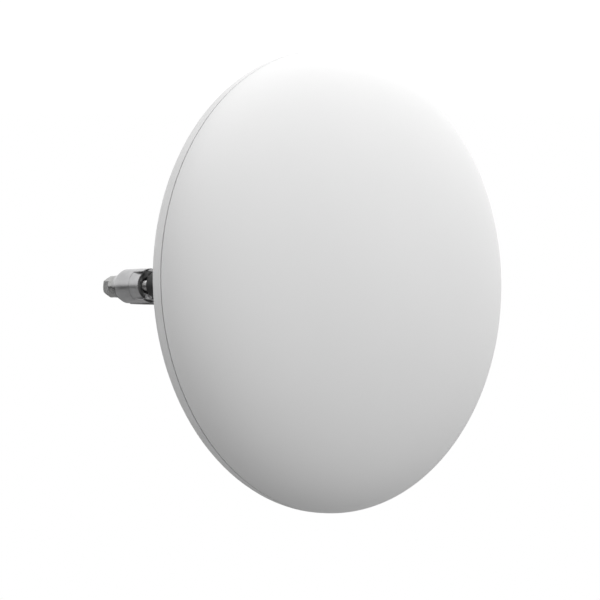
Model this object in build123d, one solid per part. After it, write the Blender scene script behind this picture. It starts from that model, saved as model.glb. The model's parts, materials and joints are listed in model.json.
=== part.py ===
"""Pole-mounted point-to-point dish antenna: radome, reflector, feed, radio box, tilt mount and pole clamp.

Row frame, in millimetres: the origin is on the pole's axis at the clamp's mid-height, +Z runs up the
pole, the dish looks along -Y, and +X is to the right of someone who faces the dish's back from the pole.
"""

import os
from math import asin, cos, degrees, radians, sin, sqrt

from build123d import *

# ---- driving dimensions -------------------------------------------------------------------------
# Dish
RIM_R = 200.0  # outer radius of the radome and of the rim ring
RIM_Y = -210.0  # parting plane between the radome and the rim ring
PARTING_GAP = 0.7  # gasket thickness, which shows as a fine line
DOME_HEIGHT = 62.0  # height of the radome's elliptical dome
DOME_WALL = 3.0
FLANGE_R = 184.0  # inner radius of the radome's flange
DISH_R = 186.0  # radius of the reflector's paraboloid
LIP_R = 196.5  # outer radius of the reflector's flat lip
FOCAL_LENGTH = 120.0
DISH_FLAT_R = 35.0  # the reflector's flat centre
SHEET = 2.0  # reflector thickness
HEM_R = 16.0  # radius of the rim ring's rounded rear edge
HEM_WALL = 3.0
HEM_STRAIGHT = 3.5
RIM_SCREWS = 8
RIM_SCREW_R = 191.0
WELL_R = 5.5
WELL_BORE_R = 4.6
SHELF_R = 186.5  # inner radius of the shelf that clamps the reflector's lip
RADOME_BOSS_R = 4.5
RADOME_BOSS_H = 9.0
RIM_SCREW_BITE = 7.0  # depth of the rim screws' holes in the radome
GASKET_OUTER_R = 198.6

# Feed
FEED_R = 6.0
FEED_BORE_R = 4.5
FEED_FLANGE_R = 18.0
FEED_FLANGE_T = 3.0
CONE_FRONT_R = 23.0
CONE_LENGTH = 13.0
SUBREFLECTOR_R = 24.0
SUBREFLECTOR_T = 3.0

# Radio box
HUB_R = 58.0
HUB_T = 8.0
BOX_HALF = 75.0
BOX_CORNER_R = 16.0
BOX_WALL = 3.0
BOX_FRONT_WALL = 5.0
BOX_REAR_Y = -91.0
GASKET_T = 1.0
COVER_T = 3.0
FIN_H = 8.0
FIN_T = 2.0
FIN_X = (50.0, 55.0, 60.0)
FIN_HALF_Z = 56.0
PILLAR_R = 8.0
COVER_BOSS_R = 5.0
STANDOFF_FLATS = 5.5
ARM_BOSS_R = 5.0
ARM_BOSS_DEPTH = 6.0
COVER_SCREW_XZ = 66.0
COVER_SCREW_SIDE_X = 68.0
BOARD_SCREW_X, BOARD_SCREW_Z = 54.0, 50.0
PILLAR_TAP, COVER_TAP, BOARD_TAP = 20.0, 12.0, 7.0  # depths of the tapped holes
GASKET_INSET = 0.5
BOARD_Y = -108.0
BOARD_T = 1.6
BOARD_HALF_X = 61.0
BOARD_HALF_Z = 66.0
RF_SHIELD_H = 8.0
RF_SHIELD_HALF = 24.0
RF_SHIELD_WALL = 0.6
PAD_SIDE = (-20.0, 20.0)
PAD_T = 2.0
LENS_R, LENS_Y, LENS_Z = 4.0, -104.0, -50.0
LENS_RIM = 1.2  # how far the lens stands out, and how far its rim is wider than its bore
VENT_R, VENT_Y, VENT_Z = 5.0, -104.0, -28.0
VENT_CAP_R, VENT_CAP_H = 8.0, 4.0
STUD_Y, STUD_Z = -104.0, 44.0
STUD_FREE = 8.0  # length of the earthing stud beyond its nut

# Port bay in the underside of the radio box
BAY_HALF_X = 20.0
BAY_Y = (-121.0, -101.0)
BAY_DEPTH = 15.0
TUB_GAP = 0.1  # clearance round the tub in the box's underside
TUB_LAP = 3.0
TUB_FLANGE_T = 1.5
JACK_SIZE = (16.0, 15.0, 14.0)  # X, Y, Z
JACK_X = -7.0
JACK_GAP = 0.1
SOCKET_SIZE = (11.8, 8.0, 12.0)
BUTTON_X = 11.0
BUTTON_R = 3.0
BUTTON_STEM_Z = (-1.5, 6.0)  # from the bay's roof
BUTTON_COLLAR = 1.0
DOOR_T = 2.4
DOOR_HALF_X = 24.0
DOOR_PIN_R = 1.5
DOOR_PIN_Y = -96.0
DOOR_KNUCKLE_R = 3.2
DOOR_KNUCKLE_X = 17.0
DOOR_KNUCKLE_HALF = 3.0
DOOR_ROOM = 0.5  # clearance between the door and the box's knuckles
DOOR_LAP = 3.5  # how far the door reaches past the bay's mouth
SEAL_LAP = 2.5
SEAL_T = 1.2
SEAL_GAP = 0.1
GROMMET_R = 5.5
GROMMET_Y = -111.0
GROMMET_SKIN = 0.4

# Tilt joint
PIVOT_Y = -64.0
TILT_RANGE = 15.0  # degrees each way
LUG_HALF_X = 15.0
LUG_BOSS_R = 14.0
EAR_GAP = 0.2
EAR_T = 6.0
EAR_DEPTH = 17.0  # from the pivot to the ear's front and rear edges
EAR_HALF_Z = 43.0
EAR_CORNER_R = 12.0
LOCK_RADIUS = 32.0  # from the pivot to the lock bolts
WEB_Y = (-69.0, -55.0)  # the front jaw's upright web, which takes the lock bolts
WEB_OVERHANG = 8.5
WEB_CORNER_R = 4.0
YOKE_T = 6.0
YOKE_HALF_X = 46.0
YOKE_HALF_Z = 48.0
YOKE_CORNER_R = 8.0
YOKE_BOLT_X = 37.0
YOKE_BOLT_Z = 30.0

# Pole clamp
POLE_R = 31.75
SADDLE_HALF_ANGLE = 45.0
SADDLE_HALF_X = 26.0
JAW_HALF_Z = 15.4
EAR_X = 45.0  # clamp bolt spacing from the pole's axis
JAW_EAR_HALF_Z = 12.0  # front jaw ear, which nests between the rear jaw's flanges
JAW_EAR_Y = (-42.0, -26.5)
JAW_FRONT_Y = -42.0
STRAP_R = 40.5  # outer radius of the rear jaw's strap
RELIEF_R = 34.5  # inner radius of the strap beyond the saddle
CHANNEL_HALF_X = 25.0
CHANNEL_HALF_Z = 9.0
CHANNEL_FLOOR_R = 37.5
PLATE_T = 3.0  # the rear ear's plates, above and below the front ear
REAR_FLANGE_Y = -19.0
BARREL_R = 13.0
BARREL_ROOT_R = 15.0
BARREL_FRONT_Y = -16.0
BARREL_ROOT_Y = -6.0
TAPER_Y = (12.0, 23.0)  # where the rear ear narrows to the seat of its thick washer
SEAT_R = 10.4
CLAMP_BOLT_TIP_Y = -62.0
COUNTERBORE_R = 8.0
COUNTERBORE_DEPTH = 5.0
SPOT_FACE_R = 11.0  # room round a clamp bolt's washer
BOLT_RUNNING = 0.08  # radial clearance of the long clamp bolts, which slide when the jaws open

# Fine tilt adjuster
SCREW_X = 67.5
SCREW_Y = -20.0
ADJUST_LUG_Z = (20.0, 26.0)
BRACKET_T = 4.0
BRACKET_HALF_Z = 11.0
LUG_R = 7.0
NUT_SIZE = (13.0, 14.0, 12.0)
TRUNNION_R = 4.0
ARM_T = 4.0
ARM_Y = (-122.0, -88.0)  # the arm's wide end
ARM_HALF_Z = 22.0
ARM_TIP_HALF_Z = 11.0
ARM_TIP = (-4.0, 12.0)  # the arm's narrow end, from the adjusting screw's axis
ARM_CORNER_R = 4.0
ARM_SCREW_Y = (-117.0, -100.0)
ARM_SCREW_Z = 16.0
CLIP_BORE_R = 3.4

# Hardware: shaft radius, width across flats, head height, nut height, washer radius, washer thickness
M10 = dict(r=5.0, flats=17.0, head=6.4, nut=8.4, washer_r=10.0, washer_t=2.0)
CLAMP_BOLT = dict(r=5.0, flats=17.0, head=8.4, nut=8.4, washer_r=10.0, washer_t=6.0)
M8 = dict(r=4.0, flats=13.0, head=5.3, nut=6.5, washer_r=8.5, washer_t=1.6)
M6 = dict(r=3.0, flats=10.0, head=4.0, nut=5.0, washer_r=6.0, washer_t=1.6)
M5 = dict(r=2.5, flats=8.0, head=3.5, nut=4.0, washer_r=5.0, washer_t=1.0)
M4 = dict(r=2.0, head_r=4.0, head=2.6)
M3 = dict(r=1.5, head_r=2.8, head=2.0)
RUNNING = 0.06  # radial clearance of a shaft that turns or slides in its bore
THREAD = 0.05  # radial clearance drawn for a thread
FREE = 0.4  # radial clearance of a slot or through hole
HEAD_CHAMFER = 0.7

SCREW_BITE = 5.0  # how far the small screws reach into their bosses

# ---- places that follow from them ---------------------------------------------------------------
RADOME_Y = RIM_Y - PARTING_GAP / 2
SEAT_Y = RIM_Y + PARTING_GAP / 2


def dish_y(radius):
    """Front face of the paraboloid at this radius."""
    return SEAT_Y + (DISH_R**2 - radius**2) / (4 * FOCAL_LENGTH)


FLAT_Y = dish_y(DISH_FLAT_R)
HUB_Y = FLAT_Y + SHEET
BOX_Y = HUB_Y + HUB_T
COVER_Y = BOX_REAR_Y + GASKET_T
YOKE_Y = COVER_Y + COVER_T
EAR_ROOT_Y = YOKE_Y + YOKE_T
CONE_REAR_Y = dish_y(0) - FOCAL_LENGTH + CONE_LENGTH + SUBREFLECTOR_T + 5.0
CONE_FRONT_Y = CONE_REAR_Y - CONE_LENGTH
BAY_TOP_Z = BAY_DEPTH - BOX_HALF
JACK_TOP_Z = BAY_TOP_Z + JACK_SIZE[2]
DOOR_PIN_Z = -BOX_HALF - DOOR_KNUCKLE_R - 0.1
EAR_INNER_X = LUG_HALF_X + EAR_GAP
EAR_OUTER_X = EAR_INNER_X + EAR_T
PIVOT_GRIP = 2 * (EAR_OUTER_X + EAR_GAP + M10["washer_t"]) + M10["nut"] + 2
LOCK_GRIP = 2 * (EAR_OUTER_X + EAR_GAP + M8["washer_t"]) + M8["nut"] + 1
BRACKET_X = (EAR_X - JAW_EAR_HALF_Z, SCREW_X + LUG_R)
ARM_X = (BOX_HALF, BOX_HALF + ARM_T)
CLIP_X = (ARM_X[1] + 0.5, ARM_X[1] + 1.8)
ARM_LEVER = SCREW_Y - PIVOT_Y


# ---- helpers ------------------------------------------------------------------------------------
def block(x, y, z):
    """A box between two limits on each axis."""
    size = [abs(high - low) for low, high in (x, y, z)]
    middle = [(high + low) / 2 for low, high in (x, y, z)]
    return Pos(*middle) * Box(*size)


def rod_x(radius, x, y, z):
    """A cylinder along X between the limits x."""
    return Pos((x[0] + x[1]) / 2, y, z) * Rot(0, 90, 0) * Cylinder(radius, abs(x[1] - x[0]))


def rod_y(radius, y, x=0.0, z=0.0):
    """A cylinder along Y between the limits y."""
    return Pos(x, (y[0] + y[1]) / 2, z) * Rot(90, 0, 0) * Cylinder(radius, abs(y[1] - y[0]))


def rod_z(radius, z, x, y):
    """A cylinder along Z between the limits z."""
    return Pos(x, y, (z[0] + z[1]) / 2) * Cylinder(radius, abs(z[1] - z[0]))


def hexagon(flats, length):
    """A hexagonal prism along +Z from the origin, with its corners eased at the far end."""
    prism = extrude(RegularPolygon(flats / sqrt(3), 6), length)
    far_r = flats / sqrt(3)
    near_r = far_r + length - HEAD_CHAMFER
    easing = Pos(0, 0, length / 2) * Cone(near_r, far_r - HEAD_CHAMFER, length)
    return prism & easing


def hex_bolt(size, grip):
    """A bolt along +Z: its head is below the origin and its shaft reaches up to grip."""
    head = Rot(180, 0, 0) * hexagon(size["flats"], size["head"])
    shaft = Pos(0, 0, grip / 2) * Cylinder(size["r"], grip)
    tip = shaft.edges().group_by(Axis.Z)[-1]
    return head + chamfer(tip, HEAD_CHAMFER)


def hex_nut(size):
    """A nut along +Z from the origin."""
    body = hexagon(size["flats"], size["nut"])
    return body - Pos(0, 0, size["nut"] / 2) * Cylinder(size["r"] + THREAD, size["nut"] * 2)


def washer(size):
    """A flat washer along +Z from the origin."""
    middle = Pos(0, 0, size["washer_t"] / 2)
    ring = Cylinder(size["washer_r"], size["washer_t"])
    return middle * (ring - Cylinder(size["r"] + 2 * THREAD, size["washer_t"] * 2))


def pan_screw(size, grip):
    """A round-headed screw along +Z: its head is below the origin and has a hexagonal socket."""
    head = Pos(0, 0, -size["head"] / 2) * Cylinder(size["head_r"], size["head"])
    crown = head.edges().group_by(Axis.Z)[0]
    head = fillet(crown, size["head"] / 3)
    socket = Pos(0, 0, -size["head"]) * extrude(RegularPolygon(size["r"] * 0.8, 6), size["head"] * 0.6)
    return head - socket + Pos(0, 0, grip / 2) * Cylinder(size["r"], grip)


def group(solids):
    """Separate solids kept together as one node."""
    return Compound(children=list(solids))


def around(count, radius, start=0.0):
    """Points (x, z) evenly spaced on a circle about the dish's axis."""
    angles = [radians(start + 360 / count * i) for i in range(count)]
    return [(radius * cos(angle), radius * sin(angle)) for angle in angles]


def corners(x, z):
    """The four points (+-x, +-z)."""
    return [(sx * x, sz * z) for sx in (-1, 1) for sz in (-1, 1)]


def drill_y(shape, places, radius, y):
    """Cuts a hole along Y at each place (x, z)."""
    for x, z in places:
        shape -= rod_y(radius, y, x, z)
    return shape


def turned(edges):
    """A solid turned about the dish's axis from an outline in (radius, y)."""
    return revolve(make_face(Curve() + edges), axis=Axis.Y)


def facing(direction, x, y, z):
    """Places a piece that is drawn along +Z so that it points along the direction."""
    turns = {
        "+x": Rot(0, 90, 0),
        "-x": Rot(0, -90, 0),
        "+y": Rot(-90, 0, 0),
        "-y": Rot(90, 0, 0),
        "+z": Rot(0, 0, 0),
        "-z": Rot(180, 0, 0),
    }
    return Pos(x, y, z) * turns[direction]


def rounded_box(half_x, half_z, corner_r, y):
    """A box about the dish's axis with its four long edges rounded."""
    outline = extrude(RectangleRounded(2 * half_x, 2 * half_z, corner_r), y[1] - y[0])
    return Pos(0, y[1], 0) * Rot(90, 0, 0) * outline


# ---- dish ---------------------------------------------------------------------------------------
RIM_SCREW_PLACES = around(RIM_SCREWS, RIM_SCREW_R, 22.5)
SHELF_Y = SEAT_Y + SHEET + HEM_WALL


def radome():
    """Elliptical dome with an inner flange and a boss for each rim screw."""
    inner_r = RIM_R - DOME_WALL
    inner_h = DOME_HEIGHT - DOME_WALL
    flange_y = RADOME_Y - DOME_WALL
    slope = asin(DOME_WALL / inner_h)
    flange_edge_r = inner_r * cos(slope)
    outline = [
        EllipticalCenterArc((0, RADOME_Y), RIM_R, DOME_HEIGHT, 270, arc_size=90),
        Line((RIM_R, RADOME_Y), (FLANGE_R, RADOME_Y)),
        Line((FLANGE_R, RADOME_Y), (FLANGE_R, flange_y)),
        Line((FLANGE_R, flange_y), (flange_edge_r, flange_y)),
        EllipticalCenterArc((0, RADOME_Y), inner_r, inner_h, 270, arc_size=90 - degrees(slope)),
        Line((0, RADOME_Y - inner_h), (0, RADOME_Y - DOME_HEIGHT)),
    ]
    shell = turned(outline)
    for x, z in RIM_SCREW_PLACES:
        shell += rod_y(RADOME_BOSS_R, (RADOME_Y - RADOME_BOSS_H, RADOME_Y), x, z)
    hole_y = (RADOME_Y - RIM_SCREW_BITE, RADOME_Y + 1)
    return drill_y(shell, RIM_SCREW_PLACES, M4["r"] + THREAD, hole_y)


def radome_gasket():
    """Flat rubber ring in the parting line, with a hole for each rim screw."""
    ring = rod_y(GASKET_OUTER_R, (RADOME_Y, SEAT_Y)) - rod_y(SHELF_R, (RADOME_Y - 1, SEAT_Y + 1))
    return drill_y(ring, RIM_SCREW_PLACES, M4["r"] + FREE, (RADOME_Y - 1, SEAT_Y + 1))


def rim_ring():
    """Band round the dish: a straight edge, a rounded rear hem, a clamping shelf and a well per screw."""
    turn_y = SEAT_Y + HEM_STRAIGHT
    turn_r = RIM_R - HEM_R
    inner_hem_r = HEM_R - HEM_WALL
    shelf_slope = asin((SHELF_Y - turn_y) / inner_hem_r)
    shelf_edge_r = turn_r + inner_hem_r * cos(shelf_slope)
    wall_r = RIM_R - HEM_WALL
    outline = [
        Line((RIM_R, SEAT_Y), (RIM_R, turn_y)),
        CenterArc((turn_r, turn_y), HEM_R, 0, 90),
        Line((turn_r, turn_y + HEM_R), (turn_r, turn_y + inner_hem_r)),
        CenterArc((turn_r, turn_y), inner_hem_r, degrees(shelf_slope), 90 - degrees(shelf_slope)),
        Line((shelf_edge_r, SHELF_Y), (SHELF_R, SHELF_Y)),
        Line((SHELF_R, SHELF_Y), (SHELF_R, SEAT_Y + SHEET)),
        Line((SHELF_R, SEAT_Y + SHEET), (wall_r, SEAT_Y + SHEET)),
        Line((wall_r, SEAT_Y + SHEET), (wall_r, SEAT_Y)),
        Line((wall_r, SEAT_Y), (RIM_R, SEAT_Y)),
    ]
    band = turned(outline)
    rear_y = turn_y + HEM_R
    well_r = SHELF_R - 2
    filled = turned(
        [
            Line((well_r, turn_y), (RIM_R, turn_y)),
            CenterArc((turn_r, turn_y), HEM_R, 0, 90),
            Line((turn_r, rear_y), (well_r, rear_y)),
            Line((well_r, rear_y), (well_r, turn_y)),
        ]
    )
    for x, z in RIM_SCREW_PLACES:
        band += rod_y(WELL_R, (SHELF_Y, rear_y), x, z) & filled
    band = drill_y(band, RIM_SCREW_PLACES, WELL_BORE_R, (SHELF_Y, rear_y + 1))
    return drill_y(band, RIM_SCREW_PLACES, M4["r"] + FREE, (SEAT_Y, SHELF_Y + 1))


def radome_screws():
    """Screws that pull the radome, gasket and reflector against the rim ring's shelf."""
    grip = SHELF_Y - RADOME_Y + RIM_SCREW_BITE - 1
    return group(facing("-y", x, SHELF_Y, z) * pan_screw(M4, grip) for x, z in RIM_SCREW_PLACES)


def reflector():
    """Spun aluminium paraboloid with a flat centre and a flat lip."""

    def parabola(offset):
        middle_r = (DISH_FLAT_R + DISH_R) / 2
        middle_y = SEAT_Y + (DISH_R**2 - DISH_FLAT_R * DISH_R) / (4 * FOCAL_LENGTH)
        points = [(DISH_FLAT_R, FLAT_Y), (middle_r, middle_y), (DISH_R, SEAT_Y)]
        return Bezier(*[(r, y + offset) for r, y in points])

    bore = FEED_R + FREE
    outline = [
        Line((bore, FLAT_Y), (DISH_FLAT_R, FLAT_Y)),
        parabola(0),
        Line((DISH_R, SEAT_Y), (LIP_R, SEAT_Y)),
        Line((LIP_R, SEAT_Y), (LIP_R, SEAT_Y + SHEET)),
        Line((LIP_R, SEAT_Y + SHEET), (DISH_R, SEAT_Y + SHEET)),
        parabola(SHEET),
        Line((DISH_FLAT_R, HUB_Y), (bore, HUB_Y)),
        Line((bore, HUB_Y), (bore, FLAT_Y)),
    ]
    dish = drill_y(turned(outline), RIM_SCREW_PLACES, M4["r"] + FREE, (SEAT_Y - 1, SHELF_Y))
    dish = drill_y(dish, HUB_SCREW_PLACES, M4["r"] + FREE, (FLAT_Y - 1, HUB_Y + 1))
    return drill_y(dish, FEED_SCREW_PLACES, M3["r"] + FREE, (FLAT_Y - 1, HUB_Y + 1))


# ---- feed ---------------------------------------------------------------------------------------
FEED_SCREW_PLACES = around(3, 13.5, 90)
HUB_SCREW_PLACES = around(4, 26.0, 45)


def feed_tube():
    """Round waveguide with a flange that seats on the reflector's flat centre."""
    tube = rod_y(FEED_R, (CONE_REAR_Y, BOARD_Y - RF_SHIELD_H))
    tube += rod_y(FEED_FLANGE_R, (FLAT_Y - FEED_FLANGE_T, FLAT_Y))
    tube -= rod_y(FEED_BORE_R, (CONE_REAR_Y - 1, BOARD_Y))
    return drill_y(tube, FEED_SCREW_PLACES, M3["r"] + FREE, (FLAT_Y - FEED_FLANGE_T - 1, FLAT_Y + 1))


def feed_cone():
    """Plastic cone that carries the subreflector on the end of the waveguide."""
    length = CONE_REAR_Y - CONE_FRONT_Y
    return Pos(0, (CONE_REAR_Y + CONE_FRONT_Y) / 2, 0) * Rot(90, 0, 0) * Cone(FEED_R, CONE_FRONT_R, length)


def subreflector():
    """Metal splash plate at the paraboloid's focus."""
    return rod_y(SUBREFLECTOR_R, (CONE_FRONT_Y - SUBREFLECTOR_T, CONE_FRONT_Y))


def feed_screws():
    """Screws that hold the waveguide's flange to the hub plate."""
    front_y = FLAT_Y - FEED_FLANGE_T
    grip = HUB_Y - front_y + HUB_T - 2
    return group(facing("+y", x, front_y, z) * pan_screw(M3, grip) for x, z in FEED_SCREW_PLACES)


def hub_plate():
    """Machined disc between the reflector and the radio box."""
    disc = rod_y(HUB_R, (HUB_Y, BOX_Y)) - rod_y(FEED_R + FREE, (HUB_Y - 1, BOX_Y + 1))
    disc = drill_y(disc, HUB_SCREW_PLACES, M4["r"] + FREE, (HUB_Y - 1, BOX_Y + 1))
    return drill_y(disc, FEED_SCREW_PLACES, M3["r"] + THREAD, (HUB_Y - 1, BOX_Y - 1))


def reflector_screws():
    """Screws that hold the reflector and hub plate to the radio box."""
    grip = BOX_Y - FLAT_Y + BOX_FRONT_WALL - 1
    return group(facing("+y", x, FLAT_Y, z) * pan_screw(M4, grip) for x, z in HUB_SCREW_PLACES)


# ---- radio box ----------------------------------------------------------------------------------
PILLAR_PLACES = corners(YOKE_BOLT_X, YOKE_BOLT_Z)
COVER_CORNERS = corners(COVER_SCREW_XZ, COVER_SCREW_XZ)
COVER_SCREW_PLACES = COVER_CORNERS + [(-COVER_SCREW_SIDE_X, 0.0), (COVER_SCREW_SIDE_X, 0.0)]
BOARD_SCREW_PLACES = corners(BOARD_SCREW_X, BOARD_SCREW_Z)
ARM_SCREW_PLACES = [(y, z) for y in ARM_SCREW_Y for z in (-ARM_SCREW_Z, ARM_SCREW_Z)]
BAY_X = (-BAY_HALF_X, BAY_HALF_X)


def radio_housing():
    """Cast box with pillars for the yoke, bosses for its screws and a mouth for the port tub."""
    inner_half = BOX_HALF - BOX_WALL
    inner_y = BOX_Y + BOX_FRONT_WALL
    box = rounded_box(BOX_HALF, BOX_HALF, BOX_CORNER_R, (BOX_Y, BOX_REAR_Y))
    box -= rounded_box(inner_half, inner_half, BOX_CORNER_R - BOX_WALL, (inner_y, BOX_REAR_Y + 1))
    inside = (inner_y - 1, BOX_REAR_Y)
    for x, z in PILLAR_PLACES:
        box += rod_y(PILLAR_R, inside, x, z)
    for x, z in COVER_SCREW_PLACES:
        box += rod_y(COVER_BOSS_R, inside, x, z)
    for y, z in ARM_SCREW_PLACES:
        box += rod_x(ARM_BOSS_R, (inner_half - ARM_BOSS_DEPTH, inner_half + 1), y, z)
    box -= block(widened(BAY_X, BOX_WALL), widened(BAY_Y, BOX_WALL), (-BOX_HALF - 1, 1 - inner_half))
    for x in (-DOOR_KNUCKLE_X, DOOR_KNUCKLE_X):
        knuckle_x = (x - DOOR_KNUCKLE_HALF, x + DOOR_KNUCKLE_HALF)
        box += rod_x(DOOR_KNUCKLE_R, knuckle_x, DOOR_PIN_Y, DOOR_PIN_Z)
        box += block(knuckle_x, (DOOR_PIN_Y, DOOR_PIN_Y + DOOR_KNUCKLE_R), (DOOR_PIN_Z, 1 - BOX_HALF))
    box -= rod_x(DOOR_PIN_R + THREAD, (-BOX_HALF, BOX_HALF), DOOR_PIN_Y, DOOR_PIN_Z)
    box -= rod_y(FEED_R + FREE, (BOX_Y - 1, inner_y + 1))
    box = drill_y(box, HUB_SCREW_PLACES, M4["r"] + THREAD, (BOX_Y - 1, inner_y + 1))
    box = drill_y(box, PILLAR_PLACES, M6["r"] + THREAD, (BOX_REAR_Y - PILLAR_TAP, BOX_REAR_Y + 1))
    box = drill_y(box, COVER_SCREW_PLACES, M4["r"] + THREAD, (BOX_REAR_Y - COVER_TAP, BOX_REAR_Y + 1))
    for y, z in ARM_SCREW_PLACES:
        box -= rod_x(M5["r"] + THREAD, (inner_half - ARM_BOSS_DEPTH - 1, BOX_HALF + 1), y, z)
    box -= rod_x(LENS_R + THREAD, (-BOX_HALF - 1, -inner_half + 1), LENS_Y, LENS_Z)
    box -= rod_x(VENT_R + THREAD, (-BOX_HALF - 1, -inner_half + 1), VENT_Y, VENT_Z)
    return box - rod_x(M6["r"] + THREAD, (-BOX_HALF - 1, -inner_half + 1), STUD_Y, STUD_Z)


def middle(limits):
    """Half-way between two limits."""
    return (limits[0] + limits[1]) / 2


def jack_y():
    """Limits along Y of the socket's body, which is centred in the bay."""
    return (middle(BAY_Y) - JACK_SIZE[1] / 2, middle(BAY_Y) + JACK_SIZE[1] / 2)


def port_tub():
    """Moulded tub in the box's underside, which holds the network socket and the reset button."""
    floor_z = BOX_WALL - BOX_HALF
    wall = BOX_WALL - TUB_GAP
    tub = block(widened(BAY_X, wall), widened(BAY_Y, wall), (-BOX_HALF, BAY_TOP_Z + BOX_WALL))
    flange_y = (BOX_Y + BOX_FRONT_WALL + TUB_GAP, BAY_Y[1] + BOX_WALL + TUB_LAP)
    tub += block(widened(BAY_X, BOX_WALL + TUB_LAP), flange_y, (floor_z, floor_z + TUB_FLANGE_T))
    tub -= block(BAY_X, BAY_Y, (-BOX_HALF - 1, BAY_TOP_Z))
    jack_x = (JACK_X - JACK_SIZE[0] / 2, JACK_X + JACK_SIZE[0] / 2)
    roof_z = (BAY_TOP_Z - 1, BAY_TOP_Z + BOX_WALL + 1)
    tub -= block(jack_x, jack_y(), roof_z)
    return tub - rod_z(BUTTON_R + FREE, roof_z, BUTTON_X, middle(BAY_Y))


def board_standoffs():
    """Hexagonal pillars that carry the circuit board."""
    floor_y = BOX_Y + BOX_FRONT_WALL
    length = BOARD_Y - floor_y
    pillar = extrude(RegularPolygon(STANDOFF_FLATS / sqrt(3), 6), length)
    pillar -= Pos(0, 0, length) * Cylinder(M3["r"] + THREAD, 2 * BOARD_TAP)
    return group(facing("+y", x, floor_y, z) * pillar for x, z in BOARD_SCREW_PLACES)


def widened(limits, by):
    """Limits moved apart by the same amount at each end."""
    return (limits[0] - by, limits[1] + by)


def housing_gasket():
    """Rubber seal between the box and its cover, cut round the cover screws' bosses."""
    inner_half = BOX_HALF - BOX_WALL
    seal_y = (BOX_REAR_Y, COVER_Y)
    outer_half = BOX_HALF - GASKET_INSET
    frame = rounded_box(outer_half, outer_half, BOX_CORNER_R - GASKET_INSET, seal_y)
    frame -= rounded_box(inner_half, inner_half, BOX_CORNER_R - BOX_WALL, (BOX_REAR_Y - 1, COVER_Y + 1))
    return drill_y(frame, COVER_SCREW_PLACES, COVER_BOSS_R, (BOX_REAR_Y - 1, COVER_Y + 1))


def radio_cover():
    """Rear cover with cooling fins on both sides of the yoke."""
    cover = rounded_box(BOX_HALF, BOX_HALF, BOX_CORNER_R, (COVER_Y, YOKE_Y))
    for x in FIN_X:
        for side in (-1, 1):
            fin_x = (side * x, side * (x + FIN_T))
            cover += block(fin_x, (YOKE_Y - 1, YOKE_Y + FIN_H), (-FIN_HALF_Z, FIN_HALF_Z))
    for x, z in COVER_SCREW_PLACES:
        cover += rod_y(COVER_BOSS_R, (BOX_REAR_Y, COVER_Y + 1), x, z)
    cover += block(PAD_SIDE, (BOARD_Y + BOARD_T + PAD_T, COVER_Y + 1), PAD_SIDE)
    cover_y = (BOX_REAR_Y - 1, YOKE_Y + FIN_H + 1)
    cover = drill_y(cover, COVER_SCREW_PLACES, M4["r"] + FREE, cover_y)
    cover = drill_y(cover, COVER_CORNERS, M4["head_r"] + FREE, (YOKE_Y, cover_y[1]))
    return drill_y(cover, PILLAR_PLACES, M6["r"] + FREE, cover_y)


def cover_screws():
    """Screws round the edge of the cover."""
    grip = YOKE_Y - BOX_REAR_Y + COVER_TAP - 2
    return group(facing("-y", x, YOKE_Y, z) * pan_screw(M4, grip) for x, z in COVER_SCREW_PLACES)


def main_board():
    """Circuit board, notched round the pillars and the bay."""
    board_y = (BOARD_Y, BOARD_Y + BOARD_T)
    board = block((-BOARD_HALF_X, BOARD_HALF_X), board_y, (-BOARD_HALF_Z, BOARD_HALF_Z))
    board = drill_y(board, PILLAR_PLACES, PILLAR_R + 1, (BOARD_Y - 1, BOARD_Y + BOARD_T + 1))
    board = drill_y(board, BOARD_SCREW_PLACES, M3["r"] + FREE, (BOARD_Y - 1, BOARD_Y + BOARD_T + 1))
    board = drill_y(board, COVER_CORNERS, COVER_BOSS_R + 3, (BOARD_Y - 1, BOARD_Y + BOARD_T + 1))
    notch_x = (BAY_X[0] - BOX_WALL - 1, BAY_X[1] + BOX_WALL + 1)
    return board - block(notch_x, (BOARD_Y - 1, BOARD_Y + BOARD_T + 1), (-BOARD_HALF_Z - 1, JACK_TOP_Z + 1))


def board_screws():
    """Screws that hold the circuit board to its bosses."""
    screw = pan_screw(M3, BOARD_T + SCREW_BITE)
    return group(facing("-y", x, BOARD_Y + BOARD_T, z) * screw for x, z in BOARD_SCREW_PLACES)


def rf_shield():
    """Pressed metal can over the radio end of the board, open where the waveguide ends."""
    front_y = BOARD_Y - RF_SHIELD_H
    outer = (-RF_SHIELD_HALF, RF_SHIELD_HALF)
    inner = (RF_SHIELD_WALL - RF_SHIELD_HALF, RF_SHIELD_HALF - RF_SHIELD_WALL)
    can = block(outer, (front_y, BOARD_Y), outer)
    can -= block(inner, (front_y + RF_SHIELD_WALL, BOARD_Y + 1), inner)
    return can - rod_y(FEED_BORE_R, (front_y - 1, BOARD_Y - 1))


def heat_pad():
    """Soft pad that carries heat from the board to the cover's pedestal."""
    return block(PAD_SIDE, (BOARD_Y + BOARD_T, BOARD_Y + BOARD_T + PAD_T), PAD_SIDE)


def ethernet_jack():
    """Network socket, open downwards into the bay."""
    half_x = JACK_SIZE[0] / 2 - JACK_GAP
    low_y, high_y = jack_y()
    body_y = (low_y + JACK_GAP, high_y - JACK_GAP)
    body = block((JACK_X - half_x, JACK_X + half_x), body_y, (BAY_TOP_Z, JACK_TOP_Z))
    socket_x = (JACK_X - SOCKET_SIZE[0] / 2, JACK_X + SOCKET_SIZE[0] / 2)
    socket_y = (middle(BAY_Y) - SOCKET_SIZE[1] / 2, middle(BAY_Y) + SOCKET_SIZE[1] / 2)
    return body - block(socket_x, socket_y, (BAY_TOP_Z - 1, BAY_TOP_Z + SOCKET_SIZE[2]))


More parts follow.
